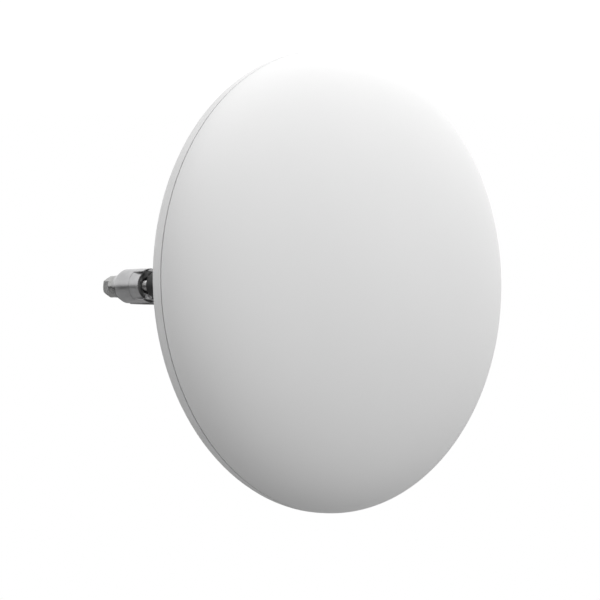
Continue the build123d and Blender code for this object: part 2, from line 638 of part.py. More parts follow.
def reset_button():
    """Button that slides up into the bay's roof."""
    stem_z = (BAY_TOP_Z + BUTTON_STEM_Z[0], BAY_TOP_Z + BUTTON_STEM_Z[1])
    roof_z = BAY_TOP_Z + BOX_WALL + JACK_GAP
    button = rod_z(BUTTON_R, stem_z, BUTTON_X, middle(BAY_Y))
    return button + rod_z(BUTTON_R + BUTTON_COLLAR, (roof_z, roof_z + BUTTON_COLLAR), BUTTON_X, middle(BAY_Y))


def status_lens():
    """Round window over the status light."""
    lens = rod_x(LENS_R, (-BOX_HALF - LENS_RIM, 1 - BOX_HALF + BOX_WALL), LENS_Y, LENS_Z)
    rim = rod_x(LENS_R + LENS_RIM, (-BOX_HALF - LENS_RIM, -BOX_HALF), LENS_Y, LENS_Z)
    return lens + rim


def breather_vent():
    """Screw-in vent with a wide cap, which lets the box breathe."""
    stem = rod_x(VENT_R, (-BOX_HALF - 1.0, 1 - BOX_HALF + BOX_WALL), VENT_Y, VENT_Z)
    cap = rod_x(VENT_CAP_R, (-BOX_HALF - VENT_CAP_H, -BOX_HALF), VENT_Y, VENT_Z)
    return stem + cap


def ground_stud():
    """Earthing stud, whose free end takes a ring terminal."""
    stud_x = (-BOX_HALF - STUD_FREE - M6["nut"] - M6["washer_t"], 2 - BOX_HALF + BOX_WALL)
    return rod_x(M6["r"], stud_x, STUD_Y, STUD_Z)


def ground_washer():
    """Washer under the earthing stud's nut."""
    return facing("-x", -BOX_HALF, STUD_Y, STUD_Z) * washer(M6)


def ground_nut():
    """Nut that clamps the earthing stud to the box."""
    return facing("-x", -BOX_HALF - M6["washer_t"], STUD_Y, STUD_Z) * hex_nut(M6)


# ---- port door ----------------------------------------------------------------------------------
def port_door():
    """Cover of the socket bay, on two knuckles at its rear edge, with a cable notch."""
    top_z = -BOX_HALF - SEAL_T
    plate = block((-DOOR_HALF_X, DOOR_HALF_X), (BAY_Y[0] - DOOR_LAP, DOOR_PIN_Y), (top_z - DOOR_T, top_z))
    room_r = DOOR_KNUCKLE_R + DOOR_ROOM
    room_half = DOOR_KNUCKLE_HALF + DOOR_ROOM
    for x in (-DOOR_KNUCKLE_X, DOOR_KNUCKLE_X):
        near_x = (x - room_half, x + room_half)
        plate -= rod_x(room_r, near_x, DOOR_PIN_Y, DOOR_PIN_Z)
        plate -= block(near_x, (DOOR_PIN_Y - room_r, DOOR_PIN_Y + 1), (top_z - DOOR_T - 1, top_z))
    inner_half = DOOR_KNUCKLE_X - room_half
    plate += rod_x(DOOR_KNUCKLE_R, (-inner_half, inner_half), DOOR_PIN_Y, DOOR_PIN_Z)
    plate -= rod_x(DOOR_PIN_R + RUNNING, (-BOX_HALF, BOX_HALF), DOOR_PIN_Y, DOOR_PIN_Z)
    return plate - rod_z(GROMMET_R, (top_z - DOOR_T - 1, top_z + 1), JACK_X, GROMMET_Y)


def door_seal():
    """Rubber ring on the door's inside, round the bay's mouth."""
    top_z = -BOX_HALF - SEAL_T
    half_x = BAY_HALF_X + SEAL_LAP
    outer_y = (BAY_Y[0] - SEAL_LAP, BAY_Y[1] + SEAL_LAP - 1)
    outer = block((-half_x, half_x), outer_y, (top_z, -BOX_HALF - SEAL_GAP))
    return outer - block(BAY_X, BAY_Y, (top_z - 1, -BOX_HALF))


def cable_grommet():
    """Rubber plug in the door's cable notch."""
    top_z = -BOX_HALF - SEAL_T
    plug_z = (top_z - DOOR_T - 2 * GROMMET_SKIN, top_z + GROMMET_SKIN)
    plug = rod_z(GROMMET_R - THREAD, plug_z, JACK_X, GROMMET_Y)
    hollow_z = (top_z - DOOR_T - 3 * GROMMET_SKIN, top_z - GROMMET_SKIN)
    return plug - rod_z(GROMMET_R / 2, hollow_z, JACK_X, GROMMET_Y)


def door_pin():
    """Hinge pin of the port door, held in the box's knuckles."""
    half = DOOR_KNUCKLE_X + DOOR_KNUCKLE_HALF
    return rod_x(DOOR_PIN_R, (-half, half), DOOR_PIN_Y, DOOR_PIN_Z)


# ---- tilt joint ---------------------------------------------------------------------------------
def tilt_yoke():
    """Cast bracket on the cover: a base plate and two ears with arc slots about the pivot."""
    yoke = rounded_box(YOKE_HALF_X, YOKE_HALF_Z, YOKE_CORNER_R, (YOKE_Y, EAR_ROOT_Y))
    ear_y = (YOKE_Y + 1, PIVOT_Y + EAR_DEPTH)
    for side in (-1, 1):
        ear_x = sorted((side * EAR_INNER_X, side * EAR_OUTER_X))
        ear = block(ear_x, ear_y, (-EAR_HALF_Z, EAR_HALF_Z))
        rear_edges = ear.edges().filter_by(Axis.X).group_by(Axis.Y)[-1]
        yoke += fillet(rear_edges, EAR_CORNER_R)
    across = (-EAR_OUTER_X - 1, EAR_OUTER_X + 1)
    yoke -= rod_x(M10["r"] + RUNNING, across, PIVOT_Y, 0)
    for side in (-1, 1):
        yoke -= arc_slot(side)
    return drill_y(yoke, PILLAR_PLACES, M6["r"] + FREE, (YOKE_Y - 1, EAR_ROOT_Y + 1))


def arc_slot(side):
    """The space that a lock bolt sweeps in the ears over the whole tilt, above or below the pivot."""
    slot_r = M8["r"] + FREE
    length = 2 * EAR_OUTER_X + 2
    ring = Cylinder(LOCK_RADIUS + slot_r, length) - Cylinder(LOCK_RADIUS - slot_r, length + 2)
    half_angle = TILT_RANGE + 0.5
    reach = 2 * LOCK_RADIUS
    spread = reach * sin(radians(half_angle)) / cos(radians(half_angle))
    wedge = Polygon((0, 0), (reach, -spread), (reach, spread), align=None)
    swept = ring & extrude(wedge, length / 2, both=True)
    for angle in (-half_angle, half_angle):
        end_x = LOCK_RADIUS * cos(radians(angle))
        end_y = LOCK_RADIUS * sin(radians(angle))
        swept += Pos(end_x, end_y, 0) * Cylinder(slot_r, length)
    return Pos(0, PIVOT_Y, 0) * Rot(0, -90 * side, 0) * swept


def yoke_bolts():
    """Bolts that hold the yoke to the box's pillars."""
    grip = EAR_ROOT_Y - BOX_REAR_Y + 16
    return group(facing("-y", x, EAR_ROOT_Y, z) * hex_bolt(M6, grip) for x, z in PILLAR_PLACES)


def front_jaw():
    """Cast front half of the clamp: saddle, bolt ears and the lug that carries the tilt joint."""
    saddle_y = (JAW_FRONT_Y, -POLE_R * cos(radians(SADDLE_HALF_ANGLE)))
    jaw = block((-SADDLE_HALF_X, SADDLE_HALF_X), saddle_y, (-JAW_HALF_Z, JAW_HALF_Z))
    jaw += block((-EAR_X, EAR_X), JAW_EAR_Y, (-JAW_EAR_HALF_Z, JAW_EAR_HALF_Z))
    for side in (-1, 1):
        jaw += rod_y(JAW_EAR_HALF_Z, JAW_EAR_Y, side * EAR_X, 0)
    bracket_seat = (JAW_EAR_Y[0] - 1, JAW_EAR_Y[0] + BRACKET_T)
    jaw -= block((BRACKET_X[0], BRACKET_X[1]), bracket_seat, (-JAW_HALF_Z, JAW_HALF_Z))
    lug_x = (-LUG_HALF_X, LUG_HALF_X)
    jaw += block(lug_x, (PIVOT_Y, JAW_FRONT_Y + 1), (-LUG_BOSS_R, LUG_BOSS_R))
    jaw += rod_x(LUG_BOSS_R, lug_x, PIVOT_Y, 0)
    web_half_z = LOCK_RADIUS + WEB_OVERHANG
    web = block(lug_x, WEB_Y, (-web_half_z, web_half_z))
    jaw += fillet(web.edges().filter_by(Axis.X), WEB_CORNER_R)
    for z in (-LOCK_RADIUS, LOCK_RADIUS):
        jaw -= rod_x(M8["r"] + THREAD, (-LUG_HALF_X - 1, LUG_HALF_X + 1), PIVOT_Y, z)
    jaw -= rod_x(M10["r"] + RUNNING, (-LUG_HALF_X - 1, LUG_HALF_X + 1), PIVOT_Y, 0)
    jaw -= rod_z(POLE_R, (-JAW_HALF_Z - 1, JAW_HALF_Z + 1), 0, 0)
    for side in (-1, 1):
        jaw -= rod_y(M10["r"] + BOLT_RUNNING, (JAW_FRONT_Y - 1, JAW_EAR_Y[1] + 1), side * EAR_X, 0)
    return jaw


def pivot_bolt():
    """Bolt that the whole head tilts on."""
    return facing("+x", -EAR_OUTER_X - EAR_GAP - M10["washer_t"], PIVOT_Y, 0) * hex_bolt(M10, PIVOT_GRIP)


def pivot_nut():
    """Nut of the pivot bolt."""
    return facing("+x", EAR_OUTER_X + EAR_GAP + M10["washer_t"], PIVOT_Y, 0) * hex_nut(M10)


def pivot_washers():
    """Washers under the pivot bolt's head and nut."""
    x = EAR_OUTER_X + EAR_GAP
    return group([facing("-x", -x, PIVOT_Y, 0) * washer(M10), facing("+x", x, PIVOT_Y, 0) * washer(M10)])


def lock_bolts():
    """Bolts through the arc slots that lock the tilt."""
    x = -EAR_OUTER_X - EAR_GAP - M8["washer_t"]
    return group(facing("+x", x, PIVOT_Y, z) * hex_bolt(M8, LOCK_GRIP) for z in (-LOCK_RADIUS, LOCK_RADIUS))


def lock_nuts():
    """Nuts of the lock bolts."""
    x = EAR_OUTER_X + EAR_GAP + M8["washer_t"]
    return group(facing("+x", x, PIVOT_Y, z) * hex_nut(M8) for z in (-LOCK_RADIUS, LOCK_RADIUS))


def lock_washers():
    """Washers against the outer faces of both ears."""
    x = EAR_OUTER_X + EAR_GAP
    rings = []
    for z in (-LOCK_RADIUS, LOCK_RADIUS):
        rings.append(facing("-x", -x, PIVOT_Y, z) * washer(M8))
        rings.append(facing("+x", x, PIVOT_Y, z) * washer(M8))
    return group(rings)


# ---- pole clamp ---------------------------------------------------------------------------------
def rear_jaw():
    """Cast rear half of the clamp: a channelled strap round the pole, with an ear for each clamp bolt."""
    height = (-JAW_HALF_Z, JAW_HALF_Z)
    rear_half = block((-STRAP_R, STRAP_R), (0, STRAP_R), height)
    jaw = (rod_z(STRAP_R, height, 0, 0) - rod_z(RELIEF_R, height, 0, 0)) & rear_half
    wedge_side = STRAP_R * sin(radians(SADDLE_HALF_ANGLE))
    wedge = Polygon((0, 0), (wedge_side, wedge_side), (-wedge_side, wedge_side), align=None)
    jaw += extrude(wedge, JAW_HALF_Z, both=True) & rod_z(STRAP_R, height, 0, 0)
    channel = rod_z(STRAP_R + 1, (-CHANNEL_HALF_Z, CHANNEL_HALF_Z), 0, 0)
    channel -= rod_z(CHANNEL_FLOOR_R, height, 0, 0)
    jaw -= channel & block((-CHANNEL_HALF_X, CHANNEL_HALF_X), (0, STRAP_R + 1), height)
    for side in (-1, 1):
        jaw += rear_ear(side * EAR_X)
    for side in (-1, 1):
        jaw -= rod_y(M10["r"] + BOLT_RUNNING, (REAR_FLANGE_Y - 1, TAPER_Y[1] + 1), side * EAR_X, 0)
        jaw -= rod_y(COUNTERBORE_R, (BARREL_FRONT_Y - 1, BARREL_FRONT_Y + COUNTERBORE_DEPTH), side * EAR_X, 0)
        jaw -= rod_y(SPOT_FACE_R, (TAPER_Y[1], STRAP_R + 1), side * EAR_X, 0)
    return jaw - rod_z(POLE_R, (-JAW_HALF_Z - 1, JAW_HALF_Z + 1), 0, 0)


def rear_ear(x):
    """Round ear: tapered behind, and in front a barrel between two plates that the front ear nests in."""
    ear = rod_y(JAW_HALF_Z, (REAR_FLANGE_Y, TAPER_Y[0]), x, 0)
    taper = Cone(SEAT_R, JAW_HALF_Z, TAPER_Y[1] - TAPER_Y[0])
    ear += Pos(x, middle(TAPER_Y), 0) * Rot(90, 0, 0) * taper
    pocket_half = JAW_HALF_Z + 1
    plate_z = JAW_HALF_Z - PLATE_T
    ear -= block((x - pocket_half, x + pocket_half), (REAR_FLANGE_Y - 1, BARREL_ROOT_Y), (-plate_z, plate_z))
    barrel = Cone(BARREL_ROOT_R, BARREL_R, BARREL_ROOT_Y - BARREL_FRONT_Y)
    return ear + Pos(x, (BARREL_ROOT_Y + BARREL_FRONT_Y) / 2, 0) * Rot(90, 0, 0) * barrel


def clamp_bolts():
    """Long bolts that pull the two jaws together."""
    y = TAPER_Y[1] + CLAMP_BOLT["washer_t"]
    grip = y - CLAMP_BOLT_TIP_Y
    return group(facing("-y", x, y, 0) * hex_bolt(CLAMP_BOLT, grip) for x in (-EAR_X, EAR_X))


def clamp_washers():
    """Thick washers under the clamp bolts' heads."""
    return group(facing("+y", x, TAPER_Y[1], 0) * washer(CLAMP_BOLT) for x in (-EAR_X, EAR_X))


def clamp_nuts():
    """Nuts of the clamp bolts, in front of the front jaw."""
    return group(facing("-y", x, JAW_EAR_Y[0], 0) * hex_nut(M10) for x in (-EAR_X, EAR_X))


# ---- fine tilt adjuster -------------------------------------------------------------------------
def adjuster_bracket():
    """Plate under the right clamp nut, with two lugs that hold the adjusting screw."""
    plate_y = (JAW_EAR_Y[0], JAW_EAR_Y[0] + BRACKET_T)
    low_z, high_z = -ADJUST_LUG_Z[1], ADJUST_LUG_Z[1]
    lug_x = (SCREW_X - LUG_R, SCREW_X + LUG_R)
    bracket = block(BRACKET_X, plate_y, (-BRACKET_HALF_Z, BRACKET_HALF_Z))
    bracket += block(lug_x, plate_y, (low_z, high_z))
    for side in (-1, 1):
        lug_z = sorted((side * ADJUST_LUG_Z[0], side * ADJUST_LUG_Z[1]))
        bracket += block(lug_x, (plate_y[0], SCREW_Y), lug_z)
        bracket += rod_z(LUG_R, lug_z, SCREW_X, SCREW_Y)
    bracket -= rod_y(M10["r"] + BOLT_RUNNING, (plate_y[0] - 1, plate_y[1] + 1), EAR_X, 0)
    return bracket - rod_z(M8["r"] + RUNNING, (low_z - 1, high_z + 1), SCREW_X, SCREW_Y)


def adjust_screw():
    """Screw with a hexagonal head that drives the travelling nut up and down."""
    top_z = ADJUST_LUG_Z[1] + THREAD
    collar = rod_z(M8["washer_r"], (top_z, top_z + M8["washer_t"]), SCREW_X, SCREW_Y)
    length = 2 * ADJUST_LUG_Z[1] + M8["nut"] + M8["washer_t"] + 4
    bolt = facing("-z", SCREW_X, SCREW_Y, top_z + M8["washer_t"]) * hex_bolt(M8, length)
    return bolt + collar


def adjust_locknut():
    """Nut that keeps the adjusting screw in its bracket."""
    return facing("-z", SCREW_X, SCREW_Y, -ADJUST_LUG_Z[1] - THREAD) * hex_nut(M8)


def travelling_nut():
    """Block on the adjusting screw with a trunnion that drives the tilt arm."""
    half_x, half_y, half_z = (size / 2 for size in NUT_SIZE)
    nut = block(
        (SCREW_X - half_x, SCREW_X + half_x), (SCREW_Y - half_y, SCREW_Y + half_y), (-half_z, half_z)
    )
    nut += rod_x(TRUNNION_R, (SCREW_X + half_x - 1, ARM_X[1] + 3.5), SCREW_Y, 0)
    groove = rod_x(TRUNNION_R + 1, CLIP_X, SCREW_Y, 0) - rod_x(CLIP_BORE_R - THREAD, CLIP_X, SCREW_Y, 0)
    return nut - groove - rod_z(M8["r"] + RUNNING, (-half_z - 1, half_z + 1), SCREW_X, SCREW_Y)


def trunnion_clip():
    """Open retaining ring on the trunnion."""
    ring_x = (CLIP_X[0] + THREAD, CLIP_X[1] - THREAD)
    ring = rod_x(TRUNNION_R + 3, ring_x, SCREW_Y, 0) - rod_x(CLIP_BORE_R, (CLIP_X[0], CLIP_X[1]), SCREW_Y, 0)
    return ring - block(CLIP_X, (SCREW_Y, SCREW_Y + TRUNNION_R + 4), (-CLIP_BORE_R + 0.8, CLIP_BORE_R - 0.8))


def tilt_arm():
    """Steel arm on the box's side, whose slot follows the travelling nut's trunnion."""
    outline = Polygon(
        (ARM_Y[0], ARM_HALF_Z),
        (ARM_Y[1], ARM_HALF_Z),
        (SCREW_Y + ARM_TIP[0], ARM_TIP_HALF_Z),
        (SCREW_Y + ARM_TIP[1], ARM_TIP_HALF_Z),
        (SCREW_Y + ARM_TIP[1], -ARM_TIP_HALF_Z),
        (SCREW_Y + ARM_TIP[0], -ARM_TIP_HALF_Z),
        (ARM_Y[1], -ARM_HALF_Z),
        (ARM_Y[0], -ARM_HALF_Z),
        align=None,
    )
    arm = Pos(middle(ARM_X), 0, 0) * (Plane.YZ * extrude(outline, ARM_T / 2, both=True))
    arm = fillet(arm.edges().filter_by(Axis.X), ARM_CORNER_R)
    for y, z in ARM_SCREW_PLACES:
        arm -= rod_x(M5["r"] + FREE, (ARM_X[0] - 1, ARM_X[1] + 1), y, z)
    slot_r = TRUNNION_R + FREE
    far_lever = ARM_LEVER / cos(radians(TILT_RANGE))
    slot_y = (PIVOT_Y + ARM_LEVER - FREE, PIVOT_Y + far_lever + FREE)
    across = (ARM_X[0] - 1, ARM_X[1] + 1)
    arm -= block(across, slot_y, (-slot_r, slot_r))
    for y in slot_y:
        arm -= rod_x(slot_r, across, y, 0)
    return arm


def arm_screws():
    """Bolts that hold the tilt arm to the box's side."""
    grip = ARM_T + BOX_WALL + SCREW_BITE
    return group(facing("-x", ARM_X[1], y, z) * hex_bolt(M5, grip) for y, z in ARM_SCREW_PLACES)


# ---- all the pieces -----------------------------------------------------------------------------
PIECES = [
    radome,
    radome_gasket,
    rim_ring,
    radome_screws,
    reflector,
    feed_tube,
    feed_cone,
    subreflector,
    feed_screws,
    hub_plate,
    reflector_screws,
    radio_housing,
    port_tub,
    board_standoffs,
    housing_gasket,
    radio_cover,
    cover_screws,
    main_board,
    board_screws,
    rf_shield,
    heat_pad,
    ethernet_jack,
    reset_button,
    status_lens,
    breather_vent,
    ground_stud,
    ground_washer,
    ground_nut,
    port_door,
    door_seal,
    cable_grommet,
    door_pin,
    tilt_yoke,
    yoke_bolts,
    front_jaw,
    pivot_bolt,
    pivot_nut,
    pivot_washers,
    lock_bolts,
    lock_nuts,
    lock_washers,
    rear_jaw,
    clamp_bolts,
    clamp_washers,
    clamp_nuts,
    adjuster_bracket,
    adjust_screw,
    adjust_locknut,
    travelling_nut,
    trunnion_clip,
    tilt_arm,
    arm_screws,
]

os.makedirs("parts", exist_ok=True)
for piece in PIECES:
    export_step(piece(), f"parts/{piece.__name__}.step")
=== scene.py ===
"""Looks of the pole-mounted dish antenna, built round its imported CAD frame. Lengths are in metres."""

import json
import math

import bmesh
import bpy
from mathutils import Matrix, Vector


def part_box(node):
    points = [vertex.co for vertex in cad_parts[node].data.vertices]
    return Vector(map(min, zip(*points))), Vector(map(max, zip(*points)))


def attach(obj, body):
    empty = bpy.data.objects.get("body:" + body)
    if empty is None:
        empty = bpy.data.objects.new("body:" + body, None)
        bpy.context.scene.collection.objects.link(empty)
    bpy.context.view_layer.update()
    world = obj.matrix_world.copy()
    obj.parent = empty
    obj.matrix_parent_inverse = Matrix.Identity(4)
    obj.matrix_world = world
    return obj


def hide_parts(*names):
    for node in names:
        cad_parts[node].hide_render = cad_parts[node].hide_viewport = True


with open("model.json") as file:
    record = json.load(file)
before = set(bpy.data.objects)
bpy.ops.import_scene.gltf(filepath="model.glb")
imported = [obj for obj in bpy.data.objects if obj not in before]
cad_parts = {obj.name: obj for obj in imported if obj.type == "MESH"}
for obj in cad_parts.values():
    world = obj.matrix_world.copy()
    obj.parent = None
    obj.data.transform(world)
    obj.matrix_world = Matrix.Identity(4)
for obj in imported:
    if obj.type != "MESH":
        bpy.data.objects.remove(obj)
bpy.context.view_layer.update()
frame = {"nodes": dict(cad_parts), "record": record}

MM = 0.001
SLOT_OF = {part["node"]: part["material_slot"] for part in frame["record"]["subparts"]}
BODY_OF = {node: body for body, nodes in frame["record"]["behaviour"]["bodies"].items() for node in nodes}

# ---- places read from the frame -----------------------------------------------------------------
RADOME_LOW, RADOME_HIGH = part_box("radome")
RING_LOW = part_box("rim_ring")[0]
RIM_R = RADOME_HIGH.x
DOME_HEIGHT = RADOME_HIGH.y - RADOME_LOW.y
RIM_Y = (RADOME_HIGH.y + RING_LOW.y) / 2

# ---- camera -------------------------------------------------------------------------------------
CAMERA_DISTANCE = 2.8
CAMERA_AZIMUTH = math.radians(-44.2)
CAMERA_ELEVATION = math.radians(-1.79)
CAMERA_LENS = 194.2  # in millimetres, like the sensor's width
CAMERA_SENSOR = 36.0
CAMERA_NEAREST = 0.05
AIM_RIGHT = -30.2 * MM  # where the camera aims, measured from the dish's centre
AIM_UP = -15.8 * MM


def add_camera():
    """A long lens at dish height, to the left of the dish's axis."""
    centre = Vector((0, RIM_Y, 0))
    back = Vector(
        (
            math.sin(CAMERA_AZIMUTH) * math.cos(CAMERA_ELEVATION),
            -math.cos(CAMERA_AZIMUTH) * math.cos(CAMERA_ELEVATION),
            math.sin(CAMERA_ELEVATION),
        )
    )
    right = Vector((math.cos(CAMERA_AZIMUTH), math.sin(CAMERA_AZIMUTH), 0))
    up = back.cross(right)
    place = centre + back * CAMERA_DISTANCE
    aim = centre + right * AIM_RIGHT + up * AIM_UP
    camera = bpy.data.objects.new("camera", bpy.data.cameras.new("camera"))
    camera.data.lens = CAMERA_LENS
    camera.data.sensor_width = CAMERA_SENSOR
    camera.data.clip_start = CAMERA_NEAREST
    camera.location = place
    camera.rotation_euler = (aim - place).to_track_quat("-Z", "Y").to_euler()
    bpy.context.scene.collection.objects.link(camera)
    bpy.context.scene.camera = camera


# ---- surroundings -------------------------------------------------------------------------------
FLOOR_Z = -1.6
FLOOR_R = 8.0
FLOOR_SEGMENTS = 96
FLOOR_COLOUR = (0.3, 0.3, 0.3, 1)
FLOOR_ROUGHNESS = 0.9


def add_floor():
    """A plain pale disc under the dish."""
    bm = bmesh.new()
    bmesh.ops.create_circle(bm, cap_ends=True, segments=FLOOR_SEGMENTS, radius=FLOOR_R)
    mesh = bpy.data.meshes.new("floor")
    bm.to_mesh(mesh)
    bm.free()
    floor = bpy.data.objects.new("floor", mesh)
    floor.location = (0, 0, FLOOR_Z)
    bpy.context.scene.collection.objects.link(floor)
    pale = bpy.data.materials.new("pale_floor")
    pale.use_nodes = True
    shader = pale.node_tree.nodes["Principled BSDF"]
    shader.inputs["Base Color"].default_value = FLOOR_COLOUR
    shader.inputs["Roughness"].default_value = FLOOR_ROUGHNESS
    floor.data.materials.append(pale)


SKY_LEVEL = 1.06  # brightness of the soft light all round
SKY_HORIZON = (-0.02, 0.1)  # sine of the elevations between which the soft light begins


def add_sky():
    """Even soft light from above the horizon, seen against plain white."""
    world = bpy.data.worlds.new("studio")
    bpy.context.scene.world = world
    world.use_nodes = True
    tree = world.node_tree
    coords = tree.nodes.new("ShaderNodeTexCoord")
    split = tree.nodes.new("ShaderNodeSeparateXYZ")
    tree.links.new(coords.outputs["Generated"], split.inputs[0])
    sky = tree.nodes.new("ShaderNodeMapRange")
    sky.interpolation_type = "SMOOTHSTEP"
    sky.inputs["From Min"].default_value, sky.inputs["From Max"].default_value = SKY_HORIZON
    sky.inputs["To Max"].default_value = SKY_LEVEL
    tree.links.new(split.outputs["Z"], sky.inputs["Value"])
    path = tree.nodes.new("ShaderNodeLightPath")
    backdrop = tree.nodes.new("ShaderNodeMath")
    backdrop.operation = "MAXIMUM"
    tree.links.new(path.outputs["Is Camera Ray"], backdrop.inputs[0])
    tree.links.new(sky.outputs["Result"], backdrop.inputs[1])
    tree.links.new(backdrop.outputs["Value"], tree.nodes["Background"].inputs["Strength"])
    tree.nodes["Background"].inputs["Color"].default_value = (1, 1, 1, 1)


LIGHT_DISTANCE = 2.5
LIGHTS = [
    # name, azimuth and elevation of its direction in degrees, side in metres, irradiance, reflected or not
    ("key", 28, 51, 1.9, 1.58, True),
    ("fill", 105, -20, 1.0, 0.9, False),
]


def add_lights():
    """Square soft boxes that face the dish; azimuth 0 is straight in front of it."""
    centre = Vector((0, RIM_Y, 0))
    for name, azimuth, elevation, side, irradiance, reflected in LIGHTS:
        turn, rise = math.radians(azimuth), math.radians(elevation)
        towards = Vector(
            (math.cos(rise) * math.sin(turn), -math.cos(rise) * math.cos(turn), math.sin(rise))
        )
        data = bpy.data.lights.new(name, "AREA")
        data.shape = "SQUARE"
        data.size = side
        data.energy = irradiance * math.pi * LIGHT_DISTANCE**2
        light = bpy.data.objects.new(name, data)
        light.location = centre + towards * LIGHT_DISTANCE
        light.visible_glossy = reflected
        light.rotation_euler = towards.to_track_quat("Z", "Y").to_euler()
        bpy.context.scene.collection.objects.link(light)


# ---- materials ----------------------------------------------------------------------------------
class Surface:
    """A procedural material: a shader whose colour, roughness and bump come from noise in object space."""

    def __init__(self, name, colour, metallic=0.0, roughness=0.5, edge=0.0):
        self.material = bpy.data.materials.new(name)
        self.material.use_nodes = True
        self.tree = self.material.node_tree
        self.shader = self.tree.nodes["Principled BSDF"]
        self.shader.inputs["Base Color"].default_value = (*colour, 1)
        self.shader.inputs["Metallic"].default_value = metallic
        self.shader.inputs["Roughness"].default_value = roughness
        self.colour = colour
        self.coords = self.tree.nodes.new("ShaderNodeTexCoord").outputs["Object"]
        self.normal = None
        if edge:
            rounded = self.node("ShaderNodeBevel")
            rounded.samples = 4
            rounded.inputs["Radius"].default_value = edge
            self.normal = rounded.outputs["Normal"]
            self.link(self.normal, self.shader.inputs["Normal"])

    def node(self, kind, **settings):
        """A new node with its settings."""
        made = self.tree.nodes.new(kind)
        for key, value in settings.items():
            setattr(made, key, value)
        return made

    def link(self, source, target):
        """Joins two sockets."""
        self.tree.links.new(source, target)

    def stretched(self, stretch):
        """Object coordinates with each axis scaled."""
        mapping = self.node("ShaderNodeMapping")
        mapping.inputs["Scale"].default_value = stretch
        self.link(self.coords, mapping.inputs["Vector"])
        return mapping.outputs["Vector"]

    def noise(self, size, detail=3.0, stretch=(1, 1, 1)):
        """Noise whose features are about this many metres across."""
        texture = self.node("ShaderNodeTexNoise")
        texture.inputs["Scale"].default_value = 1 / size
        texture.inputs["Detail"].default_value = detail
        self.link(self.stretched(stretch), texture.inputs["Vector"])
        return texture.outputs["Fac"]

    def spread(self, source, low, high, source_low=0.3, source_high=0.7):
        """Maps a noise value on to a range."""
        mapped = self.node("ShaderNodeMapRange")
        mapped.inputs["From Min"].default_value = source_low
        mapped.inputs["From Max"].default_value = source_high
        mapped.inputs["To Min"].default_value = low
        mapped.inputs["To Max"].default_value = high
        self.link(source, mapped.inputs["Value"])
        return mapped.outputs["Result"]

    def rough(self, source, low, high):
        """Roughness that varies with the noise."""
        self.link(self.spread(source, low, high), self.shader.inputs["Roughness"])
        return self

    def tint(self, source, darker, low=0.35, high=0.65):
        """Colour that goes from darker to the base colour with the noise."""
        ramp = self.node("ShaderNodeValToRGB")
        first, last = ramp.color_ramp.elements
        first.position, first.color = low, (*[c * darker for c in self.colour], 1)
        last.position, last.color = high, (*self.colour, 1)
        self.link(source, ramp.inputs["Fac"])
        self.link(ramp.outputs["Color"], self.shader.inputs["Base Color"])
        return self

    def bump(self, source, depth):
        """Adds relief of about this depth in metres."""
        relief = self.node("ShaderNodeBump")
        relief.inputs["Strength"].default_value = 1.0
        relief.inputs["Distance"].default_value = depth
        self.link(source, relief.inputs["Height"])
        if self.normal is not None:
            self.link(self.normal, relief.inputs["Normal"])
        self.normal = relief.outputs["Normal"]
        self.link(self.normal, self.shader.inputs["Normal"])
        return self


def radome_material(name):
    """Moulded plastic: white, semi-gloss, with a very fine grain."""
    made = Surface(name, (0.79, 0.79, 0.79), 0.0, 0.46)
    made.shader.inputs["Specular IOR Level"].default_value = 0.04
    made.rough(made.noise(0.05, 4), 0.48, 0.56)
    made.bump(made.noise(0.0011, 2), 0.000006)
    made.tint(made.noise(0.12, 4), 0.985)
    return made


def paint_material(name, colour=(0.8, 0.8, 0.8), orange_peel=0.0016, low=0.36, high=0.48):
    """Powder coat: a slight orange peel, softened edges and faint dirt."""
    made = Surface(name, colour, 0.0, 0.42, edge=0.0006)
    made.rough(made.noise(0.02, 4), low, high)
    made.bump(made.noise(orange_peel, 2), 0.00003)
    made.tint(made.noise(0.04, 5), 0.94)
    return made


def spun_paint_material(name):
    """White paint over spun metal, with the faint rings of spinning."""
    made = paint_material(name, (0.76, 0.76, 0.76))
    rings = made.node("ShaderNodeTexWave", wave_type="RINGS", rings_direction="Y")
    rings.inputs["Scale"].default_value = 28.0
    rings.inputs["Distortion"].default_value = 0.6
    made.link(made.coords, rings.inputs["Vector"])
    made.bump(rings.outputs["Fac"], 0.00004)
    return made


def cast_material(name):
    """Satin casting: fine grain, soft sheen, shallow dimples and slightly darker patches."""
    made = Surface(name, (0.52, 0.52, 0.525), 0.95, 0.32, edge=0.0009)
    made.rough(made.noise(0.006, 5), 0.27, 0.38)
    made.bump(made.noise(0.0007, 3), 0.00002)
    made.bump(made.noise(0.006, 3), 0.00006)
    made.tint(made.noise(0.009, 6), 0.86)
    return made


def black_cast_material(name):
    """A casting coloured near black, with a dusty bloom."""
    made = Surface(name, (0.012, 0.012, 0.012), 0.0, 0.5, edge=0.0009)
    made.rough(made.noise(0.008, 5), 0.42, 0.62)
    made.bump(made.noise(0.0012, 3), 0.00006)
    made.tint(made.noise(0.012, 5), 0.55)
    return made


def zinc_material(name, colour=(0.48, 0.48, 0.475)):
    """Zinc plating: bright, faintly mottled, dull in patches."""
    made = Surface(name, colour, 1.0, 0.3, edge=0.0003)
    made.rough(made.noise(0.003, 5), 0.22, 0.42)
    made.tint(made.noise(0.0022, 5), 0.74)
    made.bump(made.noise(0.0005, 2), 0.00001)
    return made


def stainless_material(name):
    """Stainless steel with fine brushing."""
    made = Surface(name, (0.64, 0.64, 0.64), 1.0, 0.26, edge=0.0002)
    made.rough(made.noise(0.0004, 3, (1, 14, 1)), 0.2, 0.36)
    made.bump(made.noise(0.0003, 2, (1, 20, 1)), 0.000006)
    made.tint(made.noise(0.004, 4), 0.88)
    return made


